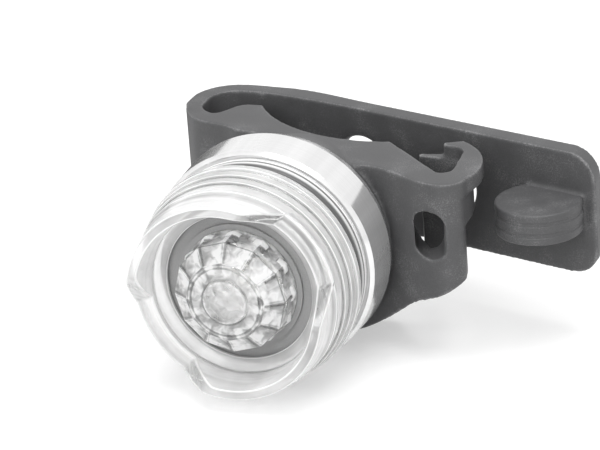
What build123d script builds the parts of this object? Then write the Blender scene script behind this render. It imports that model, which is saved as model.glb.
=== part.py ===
from build123d import *
import os
from math import atan, cos, degrees, hypot, pi, radians, sin, tan

# Small strap-on bicycle headlight, in millimetres.
# The light's axis is Y and it shines towards -Y. +Z is up, as the light lies in use on its side.
# The origin is on the light's axis, at the front rim of the polished ring.

# Clearances
running_gap = 0.08
seat_gap = 0.05
ring_gap = 0.35
tray_clearance = 0.15
tray_neck_gap = 1.0
board_gap = 0.15
hinge_gap = 0.45
cut_margin = 1.0

# Cells, tray and contacts
cell_radius = 10.0
cell_height = 3.2
cell_cap_step = 1.1
cell_rim = 0.4
tray_wall = 1.2
tray_floor = 1.1
tray_reach = 1.2
tray_flange_width = 1.2
tray_slot_width = 5.0
tray_slot_length = 3.0
leaf_thickness = 0.25
leaf_width = 4.0
leaf_lift = 1.45
leaf_hub_radius = 3.0
spring_wire = 0.5
spring_turns = 4
spring_base_radius = 4.0
spring_tip_radius = 2.6

# Metal body
ring_wall = 2.17
ring_flare = 0.2
ring_length = 8.5
ring_band_length = 6.45
ring_rear_step = 0.8
ring_bevel = 0.5
body_wall = 1.2
body_depth = 13.0
tail_step = 3.0
lock_flange_height = 0.5
lock_flange_set_back = 1.0
lock_flange_width = 1.2
thread_pitch = 1.5
thread_turns = 1.5

# Clear cap
neck_wall = 1.5
neck_lead_in = 2.35
neck_end_gap = 0.3
shoulder_gap = 3.95
shoulder_step = 0.31
rib_width = 1.15
rib_groove_width = 0.55
rib_groove_depth = 0.4
rib_groove_slant = 0.1
rib_step = 0.3
rib_count = 3
skirt_length = 1.85
crown_base_step = 0.09
crown_height = 4.3
crown_taper = 0.76
crown_rim_width = 1.34
crown_foot_drop = 0.6
window_rim_width = 1.61
window_rim_depth = 1.24
window_ledge = 0.75
window_lip = 0.5
crown_gap_angle = 57
crown_gap_half_width = 5.3
crown_gap_slope = 0.87
crown_gap_corner = 0.8

# Seals
seal_step = 1.05
seal_seat = 0.45
seal_groove_depth = 0.6
seal_groove_width = 0.8
seal_lip = 0.3
window_seal_thickness = 0.5
window_seal_width = 0.55

# Press button: dark carrier and clear gem
button_travel = 0.7
carrier_thickness = 1.1
light_hole_radius = 3.2
collar_width = 0.75
collar_height = 0.45
gem_radius = 8.2
gem_flange_height = 0.7
gem_waist_step = 0.15
gem_waist_height = 3.8
gem_crown_height = 1.65
gem_table_radius = 5.6
gem_facets = 12
gem_lens_radius = 3.4
gem_lens_height = 1.4
gem_hollow_radius = 2.6
gem_hollow_depth = 1.0

# Circuit board and what it carries
board_depth = 4.6
board_thickness = 1.0
board_ledge = 0.9
retainer_width = 1.3
retainer_height = 1.2
led_size = 3.4
led_base_height = 0.8
led_dome_radius = 1.25
switch_inset = 2.4
switch_length = 4.2
switch_width = 3.2
switch_height = 0.95
switch_floor = 0.1
plunger_radius = 0.7
plunger_bottom_gap = 0.05
chip_length = 4.9
chip_width = 3.9
chip_height = 1.3
chip_draft = 6
chip_inset = 4.5
resistor_length = 2.0
resistor_width = 1.2
resistor_height = 0.55
resistor_spacing = 3.2
resistor_inset = 3.7

# Silicone mount
band_top = 11.0
band_bottom = -7.0
cup_set_back = 0.2
cup_taper = 3.95
cup_left_x = 4.0
back_wall = 6.0
saddle_radius = 22.0
saddle_x = 8.0
saddle_shoulder = 0.4
saddle_right_x = 12.4
wing_root_inset = 4.5
wing_root_drop = 1.8
wing_side_x = 16.1
wing_side_drop = 0.4
wing_middle_x = 20.2
wing_middle_rise = 2.0
wing_end_x = 24.0
wing_end_rise = 3.1
claw_corner_x = 26.2
claw_corner_rise = 2.3
claw_front_x = 27.1
claw_right_x = 27.8
claw_waist_depth = 6.9
claw_shoulder_x = 26.8
claw_shoulder_depth = 2.3
claw_back_x = 22.4
claw_reach = 2.6
claw_tip_x = 19.8
claw_tip_reach = 1.4
claw_tip_wall = 0.8
tongue_tip_x = 16.1
claw_tongue_top = 9.1
claw_rim_low = 8.5
claw_step_low = 4.0
claw_step_draw = 1.2
claw_foot_draw = 2.4
claw_wall_share = 0.55
claw_front_share = 0.25
claw_shoulder_share = 1.35
pocket_bottom_x = 22.4
pocket_depth = 9.1
pocket_right_x = 24.3
pocket_round = 1.6
pocket_lean = 0.6
pocket_back_round = 2.2
pocket_back_inset = 0.2
window_x = 22.6
window_z = 3.2
window_width = 4.1
window_height = 7.0
window_round = 2.0
window_turn = 21.0
window_length = 11.2
lump_x = -12.2
lump_radius = 2.2
lump_reach = 10.2
lump_left_x = -14.4
lump_left_reach = 8.9
valley_x = -16.6
valley_reach = 6.1
valley_left_x = -18.6
valley_left_reach = 7.4
arm_front_x = -6.6
arm_middle_x = -13.0
arm_middle_reach = 1.6
arm_side_x = -18.4
arm_side_reach = 3.4
arm_outer_x = -20.8
arm_outer_reach = 6.2
keel_inset = 1.4
keel_left_run = 5.0
keel_x = 9.2
keel_end_rise = 0.5
keel_root_x = 12.8
keel_root_z = -12.5
keel_waist_x = 16.5
keel_waist_z = -9.8
keel_wing_x = 19.6
keel_wing_z = -7.4
keel_heel_x = 22.4
keel_heel_z = -6.2
keel_toe_x = 25.1
keel_toe_z = -4.8
keel_corner_z = -2.4
bend_x = -15.6
bend_reach = 11.2
bend_inner_radius = 3.8

# Strap
strap_thickness = 2.7
strap_bow_x = -7.0
strap_bow = 0.3
strap_front_bow = 0.5
strap_back_bow = 0.1
strap_straight_x = 4.0
strap_yaw = 16.5
strap_end_x = 42.0
strap_corner = 4.0
hole_radius = 4.4
hole_edge_round = 1.0
hole_pitch = 15.25
first_hole_x = 4.2
stud_x = 34.4
stud_stand_off = 4.2
stud_radius = 6.0
stud_top = 4.9
stud_layer = 1.15
stud_groove = 0.5
stud_groove_depth = 0.45
stud_layers = 3

# Radii, from the cells outwards
tray_bore = cell_radius + tray_clearance
tray_radius = tray_bore + tray_wall
neck_bore = tray_radius + tray_neck_gap
neck_radius = neck_bore + neck_wall
thread_radius = neck_radius + running_gap
ring_front_radius = thread_radius + ring_wall
ring_band_radius = ring_front_radius + ring_flare
ring_rear_radius = ring_band_radius - ring_rear_step
tail_radius = ring_front_radius - tail_step
lock_flange_radius = tail_radius + lock_flange_height
tray_flange_radius = tail_radius - body_wall - 2 * seat_gap
shoulder_radius = ring_front_radius - shoulder_step
seal_bore = neck_radius - seal_seat
seal_radius = ring_front_radius - seal_step
board_radius = neck_bore - board_gap
cavity_radius = board_radius - board_ledge
switch_offset = cavity_radius - switch_inset
chip_offset = cavity_radius - chip_inset
resistor_offset = cavity_radius - resistor_inset
window_radius = cavity_radius - window_ledge
crown_foot_radius = window_radius + window_rim_width
crown_base_radius = shoulder_radius - rib_count * rib_step - crown_base_step
crown_front_radius = crown_base_radius - crown_taper
carrier_radius = cavity_radius - running_gap
collar_radius = gem_radius + seat_gap + collar_width
gem_waist_radius = gem_radius - gem_waist_step
cup_front_radius = ring_rear_radius - cup_set_back
cup_back_radius = cup_front_radius - cup_taper

# Depths along the axis, from the ring's front rim
shoulder_y = -shoulder_gap
crown_base_y = shoulder_y - rib_count * (rib_width + rib_groove_width) - skirt_length
crown_front_y = crown_base_y - crown_height
crown_foot_y = crown_base_y + crown_foot_drop
window_edge_y = crown_foot_y + window_rim_depth
window_back = window_edge_y + window_lip
button_face_y = window_back + window_seal_thickness
carrier_back_y = button_face_y + carrier_thickness
gem_flange_y = button_face_y - gem_flange_height
gem_girdle_y = gem_flange_y - gem_waist_height
gem_table_y = gem_girdle_y - gem_crown_height
board_front_y = -board_depth
board_back_y = board_front_y + board_thickness
neck_length = thread_turns * thread_pitch + neck_lead_in
body_floor_y = body_depth - body_wall
tray_back_y = body_floor_y - seat_gap
tray_floor_y = tray_back_y - tray_floor
tray_flange_y = neck_length + neck_end_gap
cells_back_y = tray_floor_y - leaf_lift - seat_gap
second_cell_y = cells_back_y - cell_height
cell_front_y = second_cell_y - seat_gap - cell_height
lock_flange_y = ring_length + lock_flange_set_back
lock_flange_end_y = lock_flange_y + lock_flange_width
mount_back_y = body_depth + back_wall

# Places on the silicone mount, seen from above
wing_root = (ring_front_radius - wing_root_inset, ring_length + wing_root_drop)
wing_side = (wing_side_x, ring_length + wing_side_drop)
wing_middle = (wing_middle_x, ring_length - wing_middle_rise)
wing_end = (wing_end_x, ring_length - wing_end_rise)
claw_corner = (claw_corner_x, ring_length - claw_corner_rise)
claw_waist_y = mount_back_y - claw_waist_depth
claw_shoulder_y = mount_back_y - claw_shoulder_depth
claw_back_y = mount_back_y + claw_reach
claw_tip_y = mount_back_y + claw_tip_reach
pocket_bottom_y = mount_back_y - pocket_depth
saddle_end = (saddle_right_x, mount_back_y + saddle_shoulder)
saddle_y = mount_back_y + saddle_radius
lump_top_y = mount_back_y + lump_reach
lump_left = (lump_left_x, mount_back_y + lump_left_reach)
valley = (valley_x, mount_back_y + valley_reach)
valley_left = (valley_left_x, mount_back_y + valley_left_reach)
arm_middle = (arm_middle_x, mount_back_y + arm_middle_reach)
arm_side = (arm_side_x, mount_back_y + arm_side_reach)
arm_outer = (arm_outer_x, mount_back_y + arm_outer_reach)
keel_drop = ring_front_radius - keel_inset
bend_y = mount_back_y + bend_reach
bend_outer_radius = bend_inner_radius + strap_thickness
pivot_x = bend_x - bend_inner_radius - strap_thickness / 2
pivot_y = bend_y
barrel_radius = strap_thickness / 2
arm_end_y = pivot_y - barrel_radius - hinge_gap
strap_slope = tan(radians(strap_yaw))
band_height = band_top - band_bottom
band_middle = (band_top + band_bottom) / 2


def strap_back(x):
    # back face of the straight run of the strap, seen from above
    return bend_y + bend_outer_radius - strap_bow - (x - strap_bow_x) * strap_slope


def strap_front(x):
    # front face of the straight run, one thickness before the back face
    return strap_back(x) - strap_thickness / cos(radians(strap_yaw))


def export(builder, name):
    builder.part.label = name
    export_step(builder.part, f"parts/{name}.step")
    print(name, round(builder.part.volume, 2))


os.makedirs("parts", exist_ok=True)

# Polished metal body: an open cup with a proud ring in front and a lock flange behind
with BuildPart() as body_shell:
    with BuildSketch(Plane.XY):
        with BuildLine():
            Polyline(
                (thread_radius, ring_bevel),
                (thread_radius + ring_bevel, 0),
                (ring_front_radius - ring_bevel, 0),
                (ring_front_radius, ring_bevel),
                (ring_band_radius, ring_band_length),
                (ring_rear_radius, ring_length),
                (tail_radius, ring_length),
                (tail_radius, lock_flange_y),
                (lock_flange_radius, lock_flange_y),
                (lock_flange_radius, lock_flange_end_y),
                (tail_radius, lock_flange_end_y),
                (tail_radius, body_depth - ring_bevel),
                (tail_radius - ring_bevel, body_depth),
                (0, body_depth),
                (0, body_floor_y),
                (tail_radius - body_wall, body_floor_y),
                (tail_radius - body_wall, tray_flange_y),
                (thread_radius, tray_flange_y),
                close=True,
            )
        make_face()
    revolve(axis=Axis.Y)
export(body_shell, "body_shell")

# Clear cap: threaded neck, ribbed skirt, sloping window rim and a two-eared crown
with BuildPart() as lens_cap:
    with BuildSketch(Plane.XY):
        rib_points = []
        rib_y = shoulder_y
        rib_radius = shoulder_radius
        for rib in range(rib_count):
            rib_points += [
                (rib_radius, rib_y),
                (rib_radius, rib_y - rib_width),
                (rib_radius - rib_groove_depth, rib_y - rib_width - rib_groove_slant),
                (rib_radius - rib_groove_depth, rib_y - rib_width - rib_groove_width),
            ]
            rib_y -= rib_width + rib_groove_width
            rib_radius -= rib_step
        with BuildLine():
            Polyline(
                (neck_bore, neck_length),
                (neck_radius, neck_length),
                (neck_radius, seat_gap),
                (seal_bore - seat_gap, seat_gap),
                (seal_bore - seat_gap, shoulder_y),
                *rib_points,
                (crown_base_radius, rib_y),
                (crown_base_radius, crown_base_y),
                (crown_front_radius, crown_front_y),
                (crown_front_radius - crown_rim_width, crown_front_y),
                (crown_foot_radius, crown_foot_y),
                (window_radius, window_edge_y),
                (window_radius, window_back),
                (cavity_radius, window_back),
                (cavity_radius, board_front_y),
                (neck_bore, board_front_y),
                close=True,
            )
        make_face()
    revolve(axis=Axis.Y)
    crown_reach = 2 * (crown_base_y - crown_front_y)
    for side in (0, 180):
        gap_plane = Plane(
            origin=(0, crown_base_y, 0),
            x_dir=(cos(radians(crown_gap_angle + side)), 0, -sin(radians(crown_gap_angle + side))),
            z_dir=(sin(radians(crown_gap_angle + side)), 0, cos(radians(crown_gap_angle + side))),
        )
        with BuildSketch(gap_plane) as gap_outline:
            with BuildLine():
                outward = -1 if gap_plane.y_dir.Y > 0 else 1
                far = outward * crown_reach
                wide = crown_gap_half_width + crown_gap_slope * crown_reach
                Polyline(
                    (-crown_gap_half_width, 0),
                    (crown_gap_half_width, 0),
                    (wide, far),
                    (-wide, far),
                    close=True,
                )
            make_face()
            fillet(gap_outline.vertices().sort_by(Axis.Y)[-2:], crown_gap_corner)
        extrude(amount=shoulder_radius + cut_margin, mode=Mode.SUBTRACT)
export(lens_cap, "lens_cap")

# Rubber seal between the cap's shoulder and the ring, with a groove beside the cap
with BuildPart() as cap_seal:
    with BuildSketch(Plane.XY):
        with BuildLine():
            Polyline(
                (seal_bore, 0),
                (seal_radius - seal_lip, 0),
                (seal_radius, -seal_lip),
                (seal_radius, shoulder_y + seal_groove_width + seal_lip),
                (seal_radius - seal_groove_depth, shoulder_y + seal_groove_width),
                (seal_radius - seal_groove_depth, shoulder_y),
                (seal_bore, shoulder_y),
                close=True,
            )
        make_face()
    revolve(axis=Axis.Y)
export(cap_seal, "cap_seal")

# Flat rubber ring behind the window lip, which the button rests against
with BuildPart() as window_seal:
    with BuildSketch(Plane.XZ.offset(-window_back)):
        Circle(cavity_radius - seat_gap)
        Circle(cavity_radius - seat_gap - window_seal_width, mode=Mode.SUBTRACT)
    extrude(amount=-window_seal_thickness)
export(window_seal, "window_seal")

# Dark carrier disc of the press button, with a low collar round the gem
with BuildPart() as button_carrier:
    with BuildSketch(Plane.XZ.offset(-button_face_y)):
        Circle(carrier_radius)
        Circle(light_hole_radius, mode=Mode.SUBTRACT)
    extrude(amount=-carrier_thickness)
    with BuildSketch(Plane.XZ.offset(-button_face_y)):
        Circle(collar_radius)
        Circle(gem_radius + seat_gap, mode=Mode.SUBTRACT)
    extrude(amount=collar_height)
export(button_carrier, "button_carrier")

# Clear gem: flange, drum, ring of facets, flat table and a round lens in the middle
with BuildPart() as gem_lens:
    with BuildSketch(Plane.XZ.offset(-button_face_y)):
        Circle(gem_radius)
    extrude(amount=gem_flange_height)
    with BuildSketch(Plane.XZ.offset(-gem_flange_y)):
        RegularPolygon(gem_waist_radius, gem_facets)
    with BuildSketch(Plane.XZ.offset(-gem_girdle_y)):
        RegularPolygon(gem_waist_radius, gem_facets)
    loft()
    with BuildSketch(Plane.XZ.offset(-gem_girdle_y)):
        RegularPolygon(gem_waist_radius, gem_facets)
    with BuildSketch(Plane.XZ.offset(-gem_table_y)):
        RegularPolygon(gem_table_radius, gem_facets)
    loft()
    lens_ball = (gem_lens_radius**2 + gem_lens_height**2) / (2 * gem_lens_height)
    with BuildSketch(Plane.XY):
        with BuildLine():
            Polyline((gem_lens_radius, gem_table_y), (0, gem_table_y), (0, gem_table_y - gem_lens_height))
            RadiusArc((0, gem_table_y - gem_lens_height), (gem_lens_radius, gem_table_y), lens_ball)
        make_face()
    revolve(axis=Axis.Y)
    with BuildSketch(Plane.XZ.offset(-button_face_y)):
        Circle(gem_hollow_radius)
    extrude(amount=gem_hollow_depth, mode=Mode.SUBTRACT)
export(gem_lens, "gem_lens")

# Round circuit board
with BuildPart() as led_board:
    with BuildSketch(Plane.XZ.offset(-board_front_y)):
        Circle(board_radius)
    extrude(amount=-board_thickness)
export(led_board, "led_board")

# Plastic ring that holds the board in the cap
with BuildPart() as board_retainer:
    with BuildSketch(Plane.XZ.offset(-board_back_y)):
        Circle(neck_bore)
        Circle(neck_bore - retainer_width, mode=Mode.SUBTRACT)
    extrude(amount=-retainer_height)
export(board_retainer, "board_retainer")

# White LED on the board's front, under the gem
with BuildPart() as led:
    with BuildSketch(Plane.XZ.offset(-board_front_y)):
        Rectangle(led_size, led_size)
    extrude(amount=led_base_height)
    with BuildSketch(Plane.XY):
        dome_y = board_front_y - led_base_height
        with BuildLine():
            Polyline((0, dome_y - led_dome_radius), (0, dome_y), (led_dome_radius, dome_y))
            RadiusArc((led_dome_radius, dome_y), (0, dome_y - led_dome_radius), led_dome_radius)
        make_face()
    revolve(axis=Axis.Y)
export(led, "led")

# Push switch beside the LED, bored for its plunger
with BuildPart() as tact_switch:
    with BuildSketch(Plane.XZ.offset(-board_front_y)):
        with Locations((switch_offset, 0)):
            Rectangle(switch_width, switch_length)
    extrude(amount=switch_height)
    with BuildSketch(Plane.XZ.offset(-board_front_y + switch_height)):
        with Locations((switch_offset, 0)):
            Circle(plunger_radius + running_gap)
    extrude(amount=-(switch_height - switch_floor), mode=Mode.SUBTRACT)
export(tact_switch, "tact_switch")

# Plunger that the carrier pushes into the switch
with BuildPart() as switch_plunger:
    with BuildSketch(Plane.XZ.offset(-carrier_back_y)):
        with Locations((switch_offset, 0)):
            Circle(plunger_radius)
    extrude(amount=-(board_front_y - switch_floor - plunger_bottom_gap - button_travel - carrier_back_y))
export(switch_plunger, "switch_plunger")

# Control chip on the board's back
with BuildPart() as controller_chip:
    with BuildSketch(Plane.XZ.offset(-board_back_y)):
        with Locations((0, chip_offset)):
            Rectangle(chip_length, chip_width)
    extrude(amount=-chip_height, taper=chip_draft)
export(controller_chip, "controller_chip")

# Two chip resistors beside each other on the board's back
with BuildPart() as board_resistors:
    with BuildSketch(Plane.XZ.offset(-board_back_y)):
        with Locations((0, -resistor_offset)):
            with GridLocations(resistor_spacing, 0, 2, 1):
                Rectangle(resistor_length, resistor_width)
    extrude(amount=-resistor_height)
export(board_resistors, "board_resistors")

# Conical spring from the board to the front cell
spring_height = cell_front_y - board_back_y - 3 * seat_gap - spring_wire
with BuildPart() as contact_spring:
    spring_cone = degrees(atan((spring_tip_radius - spring_base_radius) / spring_height))
    with BuildLine() as spring_path:
        Helix(
            pitch=spring_height / spring_turns,
            height=spring_height,
            radius=spring_base_radius,
            center=(0, board_back_y + seat_gap + spring_wire / 2, 0),
            direction=(0, 1, 0),
            cone_angle=spring_cone,
        )
    with BuildSketch(Plane(origin=spring_path.line @ 0, z_dir=spring_path.line % 0)):
        Circle(spring_wire / 2)
    sweep(is_frenet=True)
export(contact_spring, "contact_spring")

# Two coin cells, each a can with a smaller cap on its front
for cell_name, cell_y in (("coin_cell_front", cell_front_y), ("coin_cell_rear", second_cell_y)):
    with BuildPart() as coin_cell:
        with BuildSketch(Plane.XY):
            with BuildLine():
                Polyline(
                    (0, cell_y),
                    (cell_radius - cell_cap_step, cell_y),
                    (cell_radius - cell_cap_step, cell_y + cell_rim),
                    (cell_radius - cell_rim, cell_y + cell_rim),
                    (cell_radius, cell_y + 2 * cell_rim),
                    (cell_radius, cell_y + cell_height - cell_rim),
                    (cell_radius - cell_rim, cell_y + cell_height),
                    (0, cell_y + cell_height),
                    close=True,
                )
            make_face()
        revolve(axis=Axis.Y)
    export(coin_cell, cell_name)

# Plastic tray: a sleeve round the cells on a flange and floor that fill the body
with BuildPart() as cell_tray:
    with BuildSketch(Plane.XY):
        with BuildLine():
            Polyline(
                (tray_bore, cell_front_y - tray_reach),
                (tray_radius, cell_front_y - tray_reach),
                (tray_radius, tray_flange_y + ring_bevel),
                (tray_flange_radius, tray_flange_y + ring_bevel),
                (tray_flange_radius, tray_flange_y + ring_bevel + tray_flange_width),
                (tray_radius, tray_flange_y + ring_bevel + tray_flange_width),
                (tray_radius, tray_back_y),
                (leaf_hub_radius, tray_back_y),
                (leaf_hub_radius, tray_floor_y),
                (tray_bore, tray_floor_y),
                close=True,
            )
        make_face()
    revolve(axis=Axis.Y)
    with BuildSketch(Plane.XY.offset(tray_bore - tray_wall)):
        with Locations((0, cell_front_y - tray_reach)):
            Rectangle(tray_slot_width, tray_slot_length)
    extrude(amount=3 * tray_wall, mode=Mode.SUBTRACT)
export(cell_tray, "cell_tray")

# Leaf contact on the tray's floor, arched to the rear cell
with BuildPart() as base_contact:
    leaf_reach = tray_bore - 2 * leaf_thickness
    leaf_low = tray_floor_y - seat_gap
    leaf_top = cells_back_y + seat_gap
    with BuildSketch(Plane.YZ.offset(-leaf_width / 2)):
        with BuildLine():
            Polyline(
                (leaf_low, -leaf_reach),
                (leaf_low, -leaf_reach / 2),
                (leaf_top + leaf_thickness, -leaf_hub_radius / 2),
                (leaf_top + leaf_thickness, leaf_hub_radius / 2),
                (leaf_low, leaf_reach / 2),
                (leaf_low, leaf_reach),
                (leaf_low - leaf_thickness, leaf_reach),
                (leaf_low - leaf_thickness, leaf_reach / 2),
                (leaf_top, leaf_hub_radius / 2),
                (leaf_top, -leaf_hub_radius / 2),
                (leaf_low - leaf_thickness, -leaf_reach / 2),
                (leaf_low - leaf_thickness, -leaf_reach),
                close=True,
            )
        make_face()
    extrude(amount=leaf_width)
export(base_contact, "base_contact")

# Silicone cradle: cup round the body, saddle for the bar, arm on the left, claw on the right
with BuildPart() as cradle:
    levels = (
        (-keel_drop, claw_step_low, claw_foot_draw, tongue_tip_x),
        (claw_step_low, claw_rim_low, claw_step_draw, tongue_tip_x),
        (claw_rim_low, claw_tongue_top, 0, tongue_tip_x),
        (claw_tongue_top, band_top, 0, claw_tip_x),
    )
    for level_low, level_high, draw, tip_x in levels:
        wall_draw = draw * claw_wall_share
        pocket_x = pocket_right_x - wall_draw
        pocket_bend_x = pocket_x - pocket_lean
        claw_front = (claw_front_x - draw * claw_front_share, ring_length)
        tip_outer = (tip_x, claw_tip_y)
        tip_inner = (tip_x + claw_tip_wall / 2, claw_tip_y - claw_tip_wall)
        pocket_corner = (pocket_bend_x - pocket_back_round, claw_tip_y - claw_tip_wall - pocket_back_inset)
        pocket_back = (pocket_bend_x, pocket_corner[1] - pocket_back_round)
        pocket_bottom = (pocket_bottom_x - wall_draw, pocket_bottom_y)
        pocket_front = (pocket_x, pocket_bottom_y + pocket_round)
        with BuildSketch(Plane.XY.offset(level_low)):
            with BuildLine():
                Spline(wing_root, wing_side, wing_middle, wing_end)
                ThreePointArc(wing_end, claw_corner, claw_front)
                Spline(
                    claw_front,
                    (claw_right_x - draw, claw_waist_y),
                    (claw_shoulder_x - draw * claw_shoulder_share, claw_shoulder_y),
                    (claw_back_x - wall_draw, claw_back_y),
                )
                Polyline((claw_back_x - wall_draw, claw_back_y), tip_outer, tip_inner, pocket_corner)
                ThreePointArc(
                    pocket_corner,
                    (
                        pocket_bend_x - pocket_back_round * (1 - sin(pi / 4)),
                        pocket_corner[1] - pocket_back_round * (1 - cos(pi / 4)),
                    ),
                    pocket_back,
                )
                Line(pocket_back, pocket_front)
                ThreePointArc(
                    pocket_front,
                    (
                        pocket_x - pocket_round * (1 - cos(pi / 4)),
                        pocket_bottom_y + pocket_round * (1 - sin(pi / 4)),
                    ),
                    pocket_bottom,
                )
                Polyline(
                    pocket_bottom,
                    saddle_end,
                    (saddle_end[0], lump_top_y),
                    (lump_x + lump_radius, lump_top_y),
                    (lump_x, lump_top_y),
                )
                Spline(
                    (lump_x, lump_top_y),
                    lump_left,
                    valley,
                    valley_left,
                    (bend_x - bend_inner_radius, bend_y),
                    tangents=((-1, 0), (0, 1)),
                )
                Line((bend_x - bend_inner_radius, bend_y), (bend_x - bend_outer_radius, bend_y))
                Spline(
                    (bend_x - bend_outer_radius, bend_y),
                    arm_outer,
                    arm_side,
                    arm_middle,
                    (arm_front_x, mount_back_y),
                    tangents=((0, -1), (1, 0)),
                )
                Polyline(
                    (arm_front_x, mount_back_y),
                    (-cup_left_x, mount_back_y),
                    (-cup_left_x, wing_root[1]),
                    wing_root,
                )
            make_face()
        extrude(amount=level_high - level_low)
    # the lower edge, seen from the front
    with BuildSketch(Plane.XZ.offset(-2 * mount_back_y)):
        with BuildLine():
            Polyline(
                (keel_toe_x, keel_toe_z),
                (claw_right_x + claw_tip_wall, keel_corner_z),
                (claw_right_x + claw_tip_wall, band_top),
                (2 * arm_outer_x, band_top),
                (2 * arm_outer_x, band_bottom),
                (-cup_left_x - keel_left_run, band_bottom),
                (-cup_left_x, keel_end_rise - keel_drop),
                (keel_x, keel_end_rise - keel_drop),
            )
            Spline(
                (keel_x, keel_end_rise - keel_drop),
                (keel_root_x, keel_root_z),
                (keel_waist_x, keel_waist_z),
                (keel_wing_x, keel_wing_z),
                (keel_heel_x, keel_heel_z),
                (keel_toe_x, keel_toe_z),
            )
        make_face()
    extrude(amount=2 * mount_back_y, mode=Mode.INTERSECT)
    with BuildSketch(Plane.XY):
        with BuildLine():
            Polyline(
                (0, ring_length + seat_gap),
                (cup_front_radius, ring_length + seat_gap),
                (cup_back_radius, mount_back_y),
                (0, mount_back_y),
                close=True,
            )
        make_face()
    revolve(axis=Axis.Y)
    # the pocket that grips the body's tail and its lock flange
    with BuildSketch(Plane.XY):
        with BuildLine():
            Polyline(
                (0, -ring_length),
                (ring_band_radius + ring_gap, -ring_length),
                (ring_band_radius + ring_gap, ring_length + seat_gap),
                (tail_radius + seat_gap, ring_length + seat_gap),
                (tail_radius + seat_gap, lock_flange_y - seat_gap),
                (lock_flange_radius + seat_gap, lock_flange_y - seat_gap),
                (lock_flange_radius + seat_gap, lock_flange_end_y + seat_gap),
                (tail_radius + seat_gap, lock_flange_end_y + seat_gap),
                (tail_radius + seat_gap, body_depth - ring_bevel + seat_gap),
                (tail_radius - ring_bevel + seat_gap, body_depth + seat_gap),
                (0, body_depth + seat_gap),
                close=True,
            )
        make_face()
    revolve(axis=Axis.Y, mode=Mode.SUBTRACT)
    # the saddle for the bar
    with BuildSketch(Plane.XY.offset(-keel_drop - cut_margin)):
        with Locations((saddle_x, saddle_y)):
            Circle(saddle_radius)
    extrude(amount=keel_drop + band_top + 2 * cut_margin, mode=Mode.SUBTRACT)
    # the window through the claw's front wall into its pocket, turned a little outwards
    window_axis = (-sin(radians(window_turn)), cos(radians(window_turn)), 0)
    window_plane = Plane(origin=(window_x, wing_end[1], window_z), x_dir=(0, 0, 1), z_dir=window_axis)
    for window_reach in (window_length, -window_width):
        with BuildSketch(window_plane):
            RectangleRounded(window_height, window_width, window_round)
        extrude(amount=window_reach, mode=Mode.SUBTRACT)
    # the arm ends square, short of the barrel that the strap turns on
    with BuildSketch(Plane.XY.offset(-keel_drop - cut_margin)):
        with Locations((pivot_x, arm_end_y)):
            Rectangle(2 * strap_thickness, 2 * strap_thickness, align=(Align.CENTER, Align.MIN))
    extrude(amount=keel_drop + band_top + 2 * cut_margin, mode=Mode.SUBTRACT)
export(cradle, "cradle")

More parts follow.
